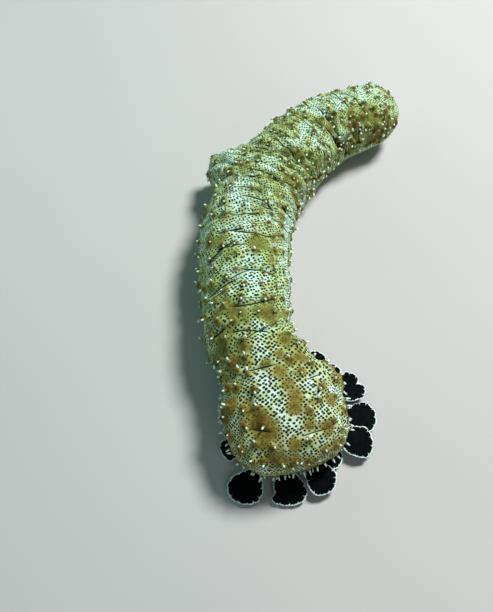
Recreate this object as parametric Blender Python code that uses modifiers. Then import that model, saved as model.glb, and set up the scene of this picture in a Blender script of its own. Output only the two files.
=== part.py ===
"""A life-size sea cucumber, creeping on a flat floor with its feeding tentacles spread.

Metres, +Z up. The floor is z = 0, the head points to -Y and the tail curls away to +Y and +X.
A place on the body is given by its distance from the head tip along the back and by its
girth angle: 0 is the side towards +X, 90 the middle of the back and 270 the middle of the sole.
"""
import math
import random

import bmesh
import bpy
from mathutils import Matrix, Vector

MM = 0.001

# The middle line of the body in plan, from the head tip to the tail tip, in millimetres.
SPINE_PLAN = [
    (34.5, -115.5), (26, -84), (18.5, -60), (9, -41), (1.5, -22), (-0.5, 5), (-2, 38), (0, 66),
    (8, 90), (21, 118), (42, 147), (65, 169), (93, 183), (126, 193),
]
ORIGIN_SHIFT = Vector((-44.2, -39.5, 0)) * MM   # puts the origin under the middle of the model

# Girth along the body: distance from the head tip, half width, height of the back, height of the sole.
GIRTH = [
    (0, 41.3, 47, 11.5), (28, 40, 49.5, 11.5), (46, 38.8, 51.5, 11.5), (60, 35.2, 53, 11.5),
    (73, 30.2, 54.5, 9), (85, 28.6, 55, 5), (97, 29.5, 56, 2.6), (120, 31, 56, 2.6),
    (140, 31.8, 56.2, 2.6), (170, 33, 57, 2.6), (200, 32.5, 57, 2.6), (235, 31, 56, 2.6),
    (270, 30, 55, 2.6), (305, 27.5, 53, 2.6), (340, 25, 50, 2.6), (365, 24, 47, 2.6),
    (400, 23.5, 46, 2.6),
]
HEAD_ROUND = 41 * MM          # length over which the head rounds off in plan and on the back
HEAD_POWER = 2.8              # 2 rounds it like a ball; more is blunter
HEAD_UNDER_ROUND = 22 * MM    # the same on the underside, which stays flat round the mouth
HEAD_UNDER_POWER = 2.4
HEAD_TIP_HEIGHT = 19 * MM
TAIL_ROUND = 26 * MM
TAIL_UNDER_ROUND = 46 * MM
TAIL_POWER = 2.0
TAIL_TIP_HEIGHT = 26 * MM
ANUS_RADIUS = 2.6 * MM        # a dimple in the middle of the tail's end
ANUS_DEPTH = 4.0 * MM
WIDEST_AT = 0.42              # height of the widest line, as a share of the body's height
BACK_POWER = 2.15             # 2 is an ellipse; more is squarer
SOLE_POWER = 3.4
SIDES = 28                    # corners round the body
RING_STEP = 6.6 * MM
END_ROUND_RINGS = (0.015, 0.06, 0.14, 0.26, 0.42, 0.60, 0.80)

# Where the body is divided into lengths, and the gap that touching pieces keep.
LENGTHS = [
    ("head", 0, 82), ("forebody", 82, 145), ("midbody", 145, 205),
    ("hindbody", 205, 264), ("rear", 264, 322), ("tail", 322, None),
]
GAP = 0.3 * MM

# Wrinkles that cross the back: distance from the head tip and depth, in millimetres.
WRINKLES = [
    (69, 1.0), (93, 1.2), (115, 1.4), (137, 1.3), (160, 1.2), (178, 1.0), (200, 1.3),
    (226, 1.1), (251, 1.5), (278, 1.4), (300, 1.6), (318, 1.3), (344, 1.1),
]
WRINKLE_HALF_WIDTH = 2.2 * MM

# Folds of the flank: distance from the head tip, girth angle, how far out (in, below 0),
# half length in millimetres and half span in degrees.
SWELLINGS = [(234, 188, 20, 13, 36), (61, 8, -4.5, 4.5, 36), (49, 5, 3, 8, 36)]

# Papillae: soft cones with a fine tip, in rows along the back and the flanks.
PAPILLA_ROWS = (-7, 15, 36, 56, 75, 94, 113, 133, 154, 176, 196)
PAPILLA_FIRST = 12 * MM
PAPILLA_STEP = 12 * MM
PAPILLA_EVERY = 2             # one in two of the places has a papilla wide enough to be modelled
BARE_PATCH = (15, 75, 78, 101)   # distances and girth angles of the smooth middle of the head
PAPILLA_RADIUS = 3.2 * MM
PAPILLA_HEIGHT = 4.6 * MM
PAPILLA_SINK = 1.5 * MM
PAPILLA_SIDES = 5
RIM_PAPILLAE = 19             # pointed papillae that fringe the head above the tentacles
RIM_ARC = (-112, 112)         # bearings of the fringe either side of the head's axis
RIM_FRONT = 0.6 * MM          # the fringe's least distance from the head tip
RIM_WIDEST = 0.96             # how far out on the underside it stands, as a share of the half width
RIM_PAST_SIDE = 0.7 * MM      # how far it runs back for each degree beyond a right angle
RIM_SIZE = 0.78

# Tube feet, in three bands along the sole.
FOOT_BANDS = (-0.60, -0.47, -0.07, 0.07, 0.47, 0.60)
FOOT_STEP = 15 * MM
FOOT_RADIUS = 1.5 * MM
FOOT_SINK = 1.5 * MM
FOOT_SIDES = 5
SOLE_START = 96 * MM
FOOT_LONGEST = 6.5 * MM       # no feet where the sole lifts further than this off the floor

# The mouth: a low collar under the head, with one flat side for each tentacle.
MOUTH_CENTRE = Vector((25, -80, 0)) * MM
COLLAR_RADIUS = 16 * MM
COLLAR_BOTTOM = 3.6 * MM
LIP_RADIUS = 7.5 * MM
LIP_DROP = 1.2 * MM
GULLET_RADIUS = 2.2 * MM
GULLET_DEPTH = 4.0 * MM

# Feeding tentacles: a stalk that ends in a lobed leaf. Each row gives the bearing of the leaf from
# the mouth (0 is +X), its reach and radius in millimetres, the height of its middle and its lobes.
TENTACLES = [
    (-156, 38.5, 8.0, 3.4, 10), (-139, 25, 5.5, 2.8, 8), (-121, 49.5, 11.5, 3.4, 12),
    (-104, 25, 5.5, 2.8, 8), (-87, 43.5, 11.5, 3.4, 12), (-73, 25, 5.5, 2.8, 8),
    (-58, 44, 10.5, 6.6, 12), (-36, 38, 8.0, 2.9, 10), (-14, 50, 11.5, 6.8, 12),
    (6.5, 53, 11.5, 3.2, 12), (19, 25, 5.5, 2.8, 8), (30, 54, 11.0, 6.4, 12),
    (48, 53.5, 7.0, 3.0, 10), (63, 54.5, 7.0, 6.4, 10), (90, 36, 7.0, 3.0, 8),
    (110, 33, 6.5, 6.4, 8), (130, 32, 6.5, 3.0, 8), (150, 33, 6.5, 6.4, 8),
    (170, 36, 7.0, 3.0, 8), (188, 34, 7.0, 6.4, 8),
]
FIRST_ROOT_BEARING = -168     # the roots stand evenly round the collar
ROOT_HEIGHT = 7.4 * MM
STALK_RADIUS = 2.0 * MM
STALK_END_RADIUS = 1.0 * MM
LEAF_RIM = 1.0 * MM           # thickness at the rim
LEAF_MIDDLE = 2.3 * MM        # and in the middle
LEAF_TILT = 7                 # degrees that the outer edge hangs below the middle
LOBE_DEPTH = 0.13             # share of the leaf's radius


def smooth_through(values, t):
    """Catmull-Rom value at t on rows of numbers, one row for each whole t."""
    last = len(values) - 1
    i = min(max(int(math.floor(t)), 0), last - 1)
    f = t - i
    rows = [values[min(max(i + k, 0), last)] for k in (-1, 0, 1, 2)]
    if i == 0:
        rows[0] = [2 * a - b for a, b in zip(rows[1], rows[2])]
    if i == last - 1:
        rows[3] = [2 * a - b for a, b in zip(rows[2], rows[1])]
    return [
        0.5 * (2 * b + (c - a) * f + (2 * a - 5 * b + 4 * c - d) * f * f + (3 * b - a - 3 * c + d) * f ** 3)
        for a, b, c, d in zip(*rows)
    ]


class Spine:
    """The middle line in plan, read by distance from the head tip."""

    STEPS = 60

    def __init__(self, plan):
        count = (len(plan) - 1) * self.STEPS
        self.points = [
            Vector((*smooth_through(plan, k / self.STEPS), 0)) * MM + ORIGIN_SHIFT
            for k in range(count + 1)
        ]
        self.reached = [0.0]
        for a, b in zip(self.points, self.points[1:]):
            self.reached.append(self.reached[-1] + (b - a).length)
        self.length = self.reached[-1]

    def at(self, distance):
        """Point, direction towards the tail, and direction to the +X side."""
        low, high = 0, len(self.reached) - 1
        while high - low > 1:
            middle = (low + high) // 2
            if self.reached[middle] <= distance:
                low = middle
            else:
                high = middle
        span = self.reached[high] - self.reached[low]
        point = self.points[low].lerp(self.points[high], (distance - self.reached[low]) / span)
        before = self.points[max(low - self.STEPS // 4, 0)]
        after = self.points[min(high + self.STEPS // 4, len(self.points) - 1)]
        along = (after - before).normalized()
        return point, along, Vector((along.y, -along.x, 0))


SPINE = Spine(SPINE_PLAN)


def girth_at(distance):
    """Half width, back height and sole height before the ends are rounded off."""
    d = min(max(distance / MM, GIRTH[0][0]), GIRTH[-1][0])
    i = max(k for k in range(len(GIRTH) - 1) if GIRTH[k][0] <= d)
    t = i + (d - GIRTH[i][0]) / (GIRTH[i + 1][0] - GIRTH[i][0])
    width, back, sole = smooth_through([row[1:] for row in GIRTH], t)
    return width * MM, back * MM, max(sole, GIRTH[-1][3]) * MM


def rounding(distance, length, power):
    """1 away from an end, and 0 at its tip."""
    if distance >= length:
        return 1.0
    return max(1 - (1 - max(distance, 0) / length) ** power, 0.0) ** (1 / power)


def section_at(distance):
    """Half width, back and sole heights with both ends rounded off."""
    width, back, sole = girth_at(distance)
    left = SPINE.length - distance
    head = rounding(distance, HEAD_ROUND, HEAD_POWER)
    under = rounding(distance, HEAD_UNDER_ROUND, HEAD_UNDER_POWER)
    tail = rounding(left, TAIL_ROUND, TAIL_POWER)
    tail_under = rounding(left, TAIL_UNDER_ROUND, TAIL_POWER)
    width *= head * tail
    back = HEAD_TIP_HEIGHT + (back - HEAD_TIP_HEIGHT) * head
    sole = HEAD_TIP_HEIGHT + (sole - HEAD_TIP_HEIGHT) * under
    back = TAIL_TIP_HEIGHT + (back - TAIL_TIP_HEIGHT) * tail
    sole = TAIL_TIP_HEIGHT + (sole - TAIL_TIP_HEIGHT) * tail_under
    return width, back, sole


def signed_power(value, power):
    return math.copysign(abs(value) ** power, value)


def wrinkle_depth(distance, girth_angle):
    """How far a wrinkle draws the skin in; the sole has none."""
    share = min(max(math.sin(math.radians(girth_angle)) * 2 + 0.6, 0), 1)
    depth = 0.0
    for place, deepest in WRINKLES:
        off = (distance - place * MM) / WRINKLE_HALF_WIDTH
        depth += deepest * MM * math.exp(-off * off)
    return depth * share


def swelling(distance, girth_angle):
    """How far a fold of the flank stands out."""
    out = 0.0
    for place, middle, height, half_length, half_span in SWELLINGS:
        along = (distance - place * MM) / (half_length * MM)
        round_ = ((girth_angle - middle + 180) % 360 - 180) / half_span
        out += height * MM * math.exp(-along * along - round_ * round_)
    return out


def skin_point(distance, girth_angle):
    """A point of the skin."""
    centre, _, side = SPINE.at(distance)
    width, back, sole = section_at(distance)
    angle = math.radians(girth_angle)
    power = BACK_POWER if math.sin(angle) >= 0 else SOLE_POWER
    across = signed_power(math.cos(angle), 2 / power)
    rise = signed_power(math.sin(angle), 2 / power)
    middle = sole + (back - sole) * WIDEST_AT
    reach = back - middle if rise >= 0 else middle - sole
    drawn_in = 1 - wrinkle_depth(distance, girth_angle) / max(width, 12 * MM)
    swell = swelling(distance, girth_angle)
    point = centre + side * (across * width * drawn_in + math.cos(angle) * swell)
    point.z = max(middle + rise * reach * drawn_in + math.sin(angle) * swell, sole)
    return point


def skin_normal(distance, girth_angle):
    """The direction straight out of the skin."""
    ahead = skin_point(distance + MM, girth_angle) - skin_point(distance - MM, girth_angle)
    round_ = skin_point(distance, girth_angle + 1.5) - skin_point(distance, girth_angle - 1.5)
    return ahead.cross(round_).normalized()


def ring_places(start, end):
    """Distances of the rings of one length, closer at wrinkles and at the rounded ends."""
    places = {start, end}
    for share in END_ROUND_RINGS:
        places.add(share * HEAD_ROUND)
        places.add(SPINE.length - share * TAIL_ROUND)
    for place, *_ in WRINKLES + SWELLINGS:
        places.add(place * MM)
    inside = sorted(p for p in places if start <= p <= end)
    kept = [inside[0]]
    for place in inside[1:]:
        gap = place - kept[-1]
        parts = max(1, round(gap / RING_STEP))
        kept += [kept[-1] + gap * (k + 1) / parts for k in range(parts)]
    return kept


def mesh_object(name, mesh, collection):
    obj = bpy.data.objects.new(name, mesh)
    collection.objects.link(obj)
    return obj


def loft(name, rings, collection):
    """A closed body through rings of equally many points, with a flat cap at each end."""
    shape = bmesh.new()
    made = [[shape.verts.new(p) for p in ring] for ring in rings]
    count = len(made[0])
    for near, far in zip(made, made[1:]):
        for k in range(count):
            shape.faces.new((near[k], near[(k + 1) % count], far[(k + 1) % count], far[k]))
    shape.faces.new(made[0][::-1])
    shape.faces.new(made[-1])
    bmesh.ops.recalc_face_normals(shape, faces=shape.faces)
    mesh = bpy.data.meshes.new(name)
    shape.to_mesh(mesh)
    shape.free()
    return mesh_object(name, mesh, collection)


def body_length(name, start, end, collection):
    """One length of the body wall, from ring to ring."""
    rings = [
        [skin_point(d, 360 * k / SIDES) for k in range(SIDES)]
        for d in ring_places(start, end)
    ]
    if end > SPINE.length - TAIL_ROUND:
        tip, along, side = SPINE.at(SPINE.length)
        tip = tip + Vector((0, 0, TAIL_TIP_HEIGHT))
        for radius, sunk in ((ANUS_RADIUS, 0), (ANUS_RADIUS * 0.7, ANUS_DEPTH)):
            turns = [math.radians(360 * k / SIDES) for k in range(SIDES)]
            rings.append([
                tip - along * sunk + side * radius * math.cos(a) + Vector((0, 0, radius * math.sin(a)))
                for a in turns
            ])
    return loft(name, rings, collection)


def cone_mesh(name, sides, steps):
    """A turned piece standing on its root: steps are (height, radius) from the root up."""
    shape = bmesh.new()
    bmesh.ops.create_cone(
        shape, cap_ends=True, segments=sides, radius1=steps[0][1], radius2=steps[-1][1],
        depth=steps[-1][0] - steps[0][0],
        matrix=Matrix.Translation((0, 0, (steps[0][0] + steps[-1][0]) / 2)),
    )
    for height, radius in steps[1:-1]:
        cut = bmesh.ops.bisect_plane(
            shape, geom=shape.verts[:] + shape.edges[:] + shape.faces[:],
            plane_co=(0, 0, height), plane_no=(0, 0, 1),
        )
        for vert in (g for g in cut["geom_cut"] if isinstance(g, bmesh.types.BMVert)):
            flat = Vector((vert.co.x, vert.co.y, 0)).normalized() * radius
            vert.co = flat + Vector((0, 0, height))
    mesh = bpy.data.meshes.new(name)
    shape.to_mesh(mesh)
    shape.free()
    return mesh


def standing_on(point, direction, size):
    """The matrix that stands a piece on a point, along a direction."""
    turn = direction.to_track_quat("Z", "Y").to_matrix().to_4x4()
    return Matrix.Translation(point) @ turn @ Matrix.Scale(size, 4)


def papilla_places():
    """Distance, girth angle and size of each papilla, in staggered rows."""
    draw = random.Random(11)
    places = []
    bare_from, bare_to, bare_low, bare_high = BARE_PATCH
    for row, angle in enumerate(PAPILLA_ROWS):
        distance = PAPILLA_FIRST + PAPILLA_STEP * 0.5 * (row % 2)
        count = row
        while distance < SPINE.length - 9 * MM:
            place = distance + draw.uniform(-2.5, 2.5) * MM
            turn = angle + draw.uniform(-6, 6)
            size = draw.uniform(0.75, 1.2)
            low_front = distance < HEAD_ROUND and not 30 < angle < 150
            bare = bare_from * MM < place < bare_to * MM and bare_low < turn < bare_high
            if count % PAPILLA_EVERY == 0 and not (low_front or bare):
                places.append((place, turn, size))
            distance += PAPILLA_STEP * draw.uniform(0.85, 1.15)
            count += 1
    return places


def rim_places():
    """Distance, girth angle and size of the papillae along the head's rim."""
    places = []
    first, last = RIM_ARC
    for k in range(RIM_PAPILLAE):
        bearing = first + (last - first) * k / (RIM_PAPILLAE - 1)
        lateral = math.sin(math.radians(min(abs(bearing), 90)))
        distance = HEAD_ROUND * (1 - (1 - lateral ** HEAD_POWER) ** (1 / HEAD_POWER))
        distance = max(distance, RIM_FRONT) + max(abs(bearing) - 90, 0) * RIM_PAST_SIDE
        share = min(lateral * section_at(HEAD_ROUND)[0] / section_at(distance)[0], 1) * RIM_WIDEST
        below = math.degrees(math.acos(share ** (SOLE_POWER / 2)))
        places.append((distance, -below if bearing < 0 else 180 + below, RIM_SIZE))
    return places


def clear_of_cuts(distance, reach):
    """True where a piece this wide stays inside one length of the body."""
    return all(abs(distance - start * MM) > reach for _, start, _ in LENGTHS[1:])


def papillae(start, end, collection):
    steps = [
        (-PAPILLA_SINK, PAPILLA_RADIUS * 1.15), (PAPILLA_HEIGHT * 0.32, PAPILLA_RADIUS * 0.62),
        (PAPILLA_HEIGHT, PAPILLA_RADIUS * 0.2),
    ]
    mesh = cone_mesh("papilla", PAPILLA_SIDES, steps)
    for distance, angle, size in papilla_places() + rim_places():
        if start < distance < end and clear_of_cuts(distance, PAPILLA_RADIUS * 1.7):
            out = skin_normal(distance, angle)
            piece = mesh_object("papilla", mesh, collection)
            piece.matrix_world = standing_on(skin_point(distance, angle), out, size)


def tube_feet(start, end, collection):
    """Short feet with flat ends, all standing on the floor."""
    distance = SOLE_START
    row = 0
    while distance < SPINE.length - TAIL_ROUND:
        for band, share in enumerate(FOOT_BANDS):
            place = distance + FOOT_STEP * 0.5 * ((band + row) % 2)
            centre, _, side = SPINE.at(place)
            width, back, sole = section_at(place)
            middle = sole + (back - sole) * WIDEST_AT
            under = middle - (middle - sole) * (1 - abs(share) ** SOLE_POWER) ** (1 / SOLE_POWER)
            inside = start < place < end and clear_of_cuts(place, FOOT_RADIUS * 1.6)
            if not inside or under > FOOT_LONGEST:
                continue
            height = under + FOOT_SINK
            mesh = cone_mesh("foot", FOOT_SIDES, [(0, FOOT_RADIUS), (height, FOOT_RADIUS * 0.8)])
            piece = mesh_object("foot", mesh, collection)
            piece.location = centre + side * share * width
        distance += FOOT_STEP
        row += 1


def keep_largest(mesh):
    """Drops every closed surface but the largest."""
    shape = bmesh.new()
    shape.from_mesh(mesh)
    unseen = set(shape.verts)
    islands = []
    while unseen:
        island, edge_of_search = set(), [unseen.pop()]
        while edge_of_search:
            vert = edge_of_search.pop()
            island.add(vert)
            for edge in vert.link_edges:
                other = edge.other_vert(vert)
                if other in unseen:
                    unseen.remove(other)
                    edge_of_search.append(other)
        islands.append(island)
    largest = max(islands, key=len)
    bmesh.ops.delete(shape, geom=[v for v in shape.verts if v not in largest], context="VERTS")
    shape.to_mesh(mesh)
    shape.free()


def fuse(obj, pieces):
    """Joins the collection's pieces to an object and removes them."""
    bpy.context.view_layer.update()
    join = obj.modifiers.new("join", "BOOLEAN")
    join.operation = "UNION"
    join.operand_type = "COLLECTION"
    join.collection = pieces
    join.solver = "MANIFOLD"
    graph = bpy.context.evaluated_depsgraph_get()
    joined = bpy.data.meshes.new_from_object(obj.evaluated_get(graph))
    obj.modifiers.clear()
    obj.data = joined
    keep_largest(joined)
    for piece in list(pieces.objects):
        bpy.data.objects.remove(piece)
    bpy.data.collections.remove(pieces)


def new_pieces(name):
    pieces = bpy.data.collections.new(name)
    bpy.context.scene.collection.children.link(pieces)
    return pieces


def collar(collection):
    """The mouth's collar, a turned piece with a lip and a short gullet."""
    top = section_at(HEAD_ROUND)[2] - GAP
    corner = COLLAR_RADIUS / math.cos(math.pi / len(TENTACLES))
    profile = [
        (0, top), (corner, top), (corner, COLLAR_BOTTOM + 1.2 * MM), (corner - 1.6 * MM, COLLAR_BOTTOM),
        (LIP_RADIUS + 2 * MM, COLLAR_BOTTOM), (LIP_RADIUS, COLLAR_BOTTOM - LIP_DROP),
        (GULLET_RADIUS * 1.6, COLLAR_BOTTOM), (0, COLLAR_BOTTOM + GULLET_DEPTH),
    ]
    mesh = bpy.data.meshes.new("mouth")
    mesh.from_pydata(
        [(r, 0, z) for r, z in profile], [(k, k + 1) for k in range(len(profile) - 1)], [],
    )
    obj = mesh_object("mouth", mesh, collection)
    obj.location = MOUTH_CENTRE + ORIGIN_SHIFT
    # Half a step of turn sets a flat side, and not a corner, in front of each root.
    obj.rotation_euler.z = math.radians(FIRST_ROOT_BEARING + 180 / len(TENTACLES))
    turn = obj.modifiers.new("turn", "SCREW")
    turn.steps = turn.render_steps = len(TENTACLES)
    turn.use_merge_vertices = True
    turn.merge_threshold = 0.00001
    return obj


def stalk(name, root_bearing, tip, collection):
    """A tapering stalk from the collar to the middle of its leaf, as a mesh."""
    start = COLLAR_RADIUS + GAP
    out = Vector((math.cos(root_bearing), math.sin(root_bearing), 0))
    middle = MOUTH_CENTRE + ORIGIN_SHIFT
    root = middle + out * start + Vector((0, 0, ROOT_HEIGHT))
    flat_tip = Vector((tip.x, tip.y, 0))
    reach = (flat_tip - middle).length
    heading = (flat_tip - middle) / reach
    bend = middle + (out * 0.55 + heading * 0.45).normalized() * (start + (reach - start) * 0.42)
    bend.z = ROOT_HEIGHT + (tip.z - ROOT_HEIGHT) * 0.15
    near = middle + heading * (start + (reach - start) * 0.8)
    near.z = tip.z + (ROOT_HEIGHT - tip.z) * 0.12
    way = [root + out * (reach - start) * 0.12, bend, near, tip]
    curve = bpy.data.curves.new(name, "CURVE")
    curve.dimensions = "3D"
    curve.bevel_depth = STALK_RADIUS
    curve.bevel_resolution = 1
    curve.use_fill_caps = True
    line = curve.splines.new("POLY")
    count = 7
    line.points.add(count - 1)
    line.points[0].co = (*root, 1)
    for k in range(1, count):
        t = (k - 1) / (count - 2)
        line.points[k].co = (*smooth_through([tuple(p) for p in way], t * (len(way) - 1)), 1)
        line.points[k].radius = 1 + (STALK_END_RADIUS / STALK_RADIUS - 1) * k / (count - 1)
    obj = mesh_object(name, curve, collection)
    bpy.context.view_layer.update()
    mesh = bpy.data.meshes.new_from_object(obj.evaluated_get(bpy.context.evaluated_depsgraph_get()))
    bpy.data.objects.remove(obj)
    shape = bmesh.new()
    shape.from_mesh(mesh)
    bmesh.ops.remove_doubles(shape, verts=shape.verts, dist=0.00001)
    bmesh.ops.recalc_face_normals(shape, faces=shape.faces)
    shape.to_mesh(mesh)
    shape.free()
    return mesh_object(name, mesh, collection)


def leaf(radius, lobes, tip, heading, collection):
    """A lobed leaf, thicker in the middle, with its outer edge low."""
    shape = bmesh.new()
    bmesh.ops.create_cone(
        shape, cap_ends=True, segments=lobes * 2, radius1=radius, radius2=radius, depth=LEAF_RIM,
    )
    caps = [f for f in shape.faces if len(f.verts) > 4]
    bmesh.ops.inset_individual(shape, faces=caps, thickness=radius * 0.42)
    bmesh.ops.poke(shape, faces=[f for f in shape.faces if len(f.verts) > 4])
    for vert in shape.verts:
        out = Vector((vert.co.x, vert.co.y, 0))
        share = out.length / radius
        turn = math.atan2(out.y, out.x)
        thick = LEAF_RIM + (LEAF_MIDDLE - LEAF_RIM) * max(1 - share ** 1.5, 0)
        if share > 0.9:
            out *= 1 - LOBE_DEPTH * (0.5 - 0.5 * math.cos(turn * lobes))
        ruffle = 0.35 * MM * math.sin(turn * 3 + lobes) * share ** 2
        vert.co = out + Vector((0, 0, math.copysign(thick / 2, vert.co.z) + ruffle))
    mesh = bpy.data.meshes.new("leaf")
    shape.to_mesh(mesh)
    shape.free()
    obj = mesh_object("leaf", mesh, collection)
    tilt = Matrix.Rotation(math.radians(LEAF_TILT), 4, "Y")
    obj.matrix_world = Matrix.Translation(tip) @ Matrix.Rotation(heading, 4, "Z") @ tilt
    return obj


def tentacle(index, collection):
    bearing, reach, radius, height, lobes = TENTACLES[index]
    heading = math.radians(bearing)
    out = Vector((math.cos(heading), math.sin(heading), 0))
    tip = MOUTH_CENTRE + ORIGIN_SHIFT + out * reach * MM + Vector((0, 0, height * MM))
    root_bearing = math.radians(FIRST_ROOT_BEARING + 360 / len(TENTACLES) * index)
    obj = stalk(f"tentacle_{index + 1:02d}", root_bearing, tip, collection)
    pieces = new_pieces("leaf pieces")
    leaf(radius * MM, lobes, tip, heading, pieces)
    fuse(obj, pieces)
    return obj


def material(name, colour, roughness):
    made = bpy.data.materials.new(name)
    made.use_nodes = True
    shader = made.node_tree.nodes["Principled BSDF"]
    shader.inputs["Base Color"].default_value = (*colour, 1)
    shader.inputs["Roughness"].default_value = roughness
    shader.inputs["Metallic"].default_value = 0
    return made


def finish(obj, surface):
    obj.data.materials.clear()
    obj.data.materials.append(surface)
    obj.data.shade_smooth()
    obj.data.set_sharp_from_angle(angle=math.radians(50))


def main():
    for obj in list(bpy.data.objects):
        bpy.data.objects.remove(obj)
    animal = bpy.data.collections.new("sea_cucumber")
    bpy.context.scene.collection.children.link(animal)
    skin = material("skin", (0.62, 0.55, 0.24), 0.5)
    lips = material("mouth", (0.30, 0.24, 0.12), 0.5)
    black = material("tentacle", (0.012, 0.012, 0.014), 0.45)
    for name, first, last in LENGTHS:
        start = first * MM + GAP / 2 if first else SPINE.length * 0.001
        end = last * MM - GAP / 2 if last else SPINE.length * 0.999
        length = body_length(name, start, end, animal)
        pieces = new_pieces("skin pieces")
        papillae(start, end, pieces)
        tube_feet(start, end, pieces)
        fuse(length, pieces)
        finish(length, skin)
    finish(collar(animal), lips)
    for index in range(len(TENTACLES)):
        finish(tentacle(index, animal), black)


main()
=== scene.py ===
import math
import random

import bpy
import numpy as np
from mathutils import Matrix, Vector, noise


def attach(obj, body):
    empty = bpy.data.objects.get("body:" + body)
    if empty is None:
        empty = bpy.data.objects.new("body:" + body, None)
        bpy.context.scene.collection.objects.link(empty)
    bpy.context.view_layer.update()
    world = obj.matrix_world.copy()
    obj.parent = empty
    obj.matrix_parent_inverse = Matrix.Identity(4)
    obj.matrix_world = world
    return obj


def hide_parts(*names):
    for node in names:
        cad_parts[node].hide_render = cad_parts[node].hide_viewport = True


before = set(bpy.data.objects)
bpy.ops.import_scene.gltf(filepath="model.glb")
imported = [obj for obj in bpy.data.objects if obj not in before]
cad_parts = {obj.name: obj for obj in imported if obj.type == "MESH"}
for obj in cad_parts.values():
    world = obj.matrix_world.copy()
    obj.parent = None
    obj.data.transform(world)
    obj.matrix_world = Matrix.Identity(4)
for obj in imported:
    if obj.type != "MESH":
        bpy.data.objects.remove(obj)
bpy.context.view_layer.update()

mm = 0.001   # all is worked out in millimetres, and made metres when a mesh is written


# body form

bodyForm = {
    # middle line in plan, head tip to tail tip
    "plan": [
        (34.5, -115.5), (26, -84), (18.5, -60), (9, -41), (1.5, -22), (-0.5, 5), (-2, 38),
        (0, 66), (8, 90), (21, 118), (42, 147), (65, 169), (93, 183), (126, 193),
    ],
    "shift": (-44.2, -39.5),
    # distance from the head tip, half width, back height, sole height
    "girth": [
        (0, 41.3, 47, 11.5), (28, 40, 49.5, 11.5), (46, 38.8, 51.5, 11.5), (60, 35.2, 53, 11.5),
        (73, 30.2, 54.5, 9), (85, 28.6, 55, 5), (97, 29.5, 56, 2.6), (120, 31, 56, 2.6),
        (140, 31.8, 56.2, 2.6), (170, 33, 57, 2.6), (200, 32.5, 57, 2.6), (235, 31, 56, 2.6),
        (270, 30, 55, 2.6), (305, 27.5, 53, 2.6), (340, 25, 50, 2.6), (365, 24, 47, 2.6),
        (400, 23.5, 46, 2.6),
    ],
    # how far each end takes to round off, how squarely, and the height its tip ends at
    "headRound": 41, "headPower": 2.8, "headUnderRound": 22, "headUnderPower": 2.4, "headTipHeight": 19,
    "tailRound": 26, "tailUnderRound": 46, "tailPower": 2.0, "tailTipHeight": 26,
    "widestAt": 0.42, "backPower": 2.15, "solePower": 3.4,
    # folds of the flank: distance, girth angle, out (in below 0), half length, half span in degrees
    "flankFolds": [(234, 188, 20, 13, 36), (61, 8, -4.5, 4.5, 36), (49, 5, 3, 8, 36)],
}


def smoothThrough(rows, t):
    # Catmull-Rom through rows of numbers, one row for each whole t
    rows = np.asarray(rows, float)
    rows = np.vstack([2 * rows[0] - rows[1], rows, 2 * rows[-1] - rows[-2]])
    t = np.asarray(t, float)
    i = np.clip(np.floor(t).astype(int), 0, len(rows) - 4)
    f = (t - i)[..., None]
    a, b, c, d = (rows[i + k] for k in range(4))
    return 0.5 * (2 * b + (c - a) * f + (2 * a - 5 * b + 4 * c - d) * f ** 2
                  + (3 * b - a - 3 * c + d) * f ** 3)


def unit(vectors):
    return vectors / np.maximum(np.linalg.norm(vectors, axis=-1, keepdims=True), 1e-9)


def runningSum(steps):
    return np.concatenate([[0], np.cumsum(steps)])


def bell(off, reach):
    # 1 at the middle, falling smoothly to nearly nothing at twice the reach
    return np.exp(-(off / reach) ** 2)


def readSpine():
    # the middle line in fine steps: places, distance reached, and direction over half a stretch
    steps = 60
    marks = np.arange((len(bodyForm["plan"]) - 1) * steps + 1)
    line = smoothThrough(bodyForm["plan"], marks / steps) + bodyForm["shift"]
    ahead = np.minimum(marks + steps // 4, marks[-1])
    behind = np.maximum(marks - steps // 4, 0)
    reached = runningSum(np.linalg.norm(np.diff(line, axis=0), axis=1))
    return line, reached, unit(line[ahead] - line[behind])


spineLine, spineReached, spineAlong = readSpine()
bodyLength = spineReached[-1]


def spineAt(distance):
    # point in plan, direction to the tail, direction to the +X side
    def read(values):
        return np.stack([np.interp(distance, spineReached, values[:, k]) for k in (0, 1)], -1)

    along = read(spineAlong)
    return read(spineLine), along, np.stack([along[..., 1], -along[..., 0]], -1)


def rounding(distance, length, power):
    share = np.clip(distance / length, 0, 1)
    return (1 - (1 - share) ** power) ** (1 / power)


def sectionAt(distance):
    # half width, back height and sole height, with both ends rounded off
    form = bodyForm
    girth = np.array(form["girth"], float)
    t = np.interp(distance, girth[:, 0], np.arange(len(girth)))
    width, back, sole = np.moveaxis(smoothThrough(girth[:, 1:], t), -1, 0)
    sole = np.maximum(sole, girth[-1, 3])
    left = bodyLength - distance
    head = rounding(distance, form["headRound"], form["headPower"])
    under = rounding(distance, form["headUnderRound"], form["headUnderPower"])
    tail = rounding(left, form["tailRound"], form["tailPower"])
    tailUnder = rounding(left, form["tailUnderRound"], form["tailPower"])
    headTip, tailTip = form["headTipHeight"], form["tailTipHeight"]
    back = tailTip + (headTip + (back - headTip) * head - tailTip) * tail
    sole = tailTip + (headTip + (sole - headTip) * under - tailTip) * tailUnder
    return width * head * tail, back, sole


def signedPower(value, power):
    return np.sign(value) * np.abs(value) ** power


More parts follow.
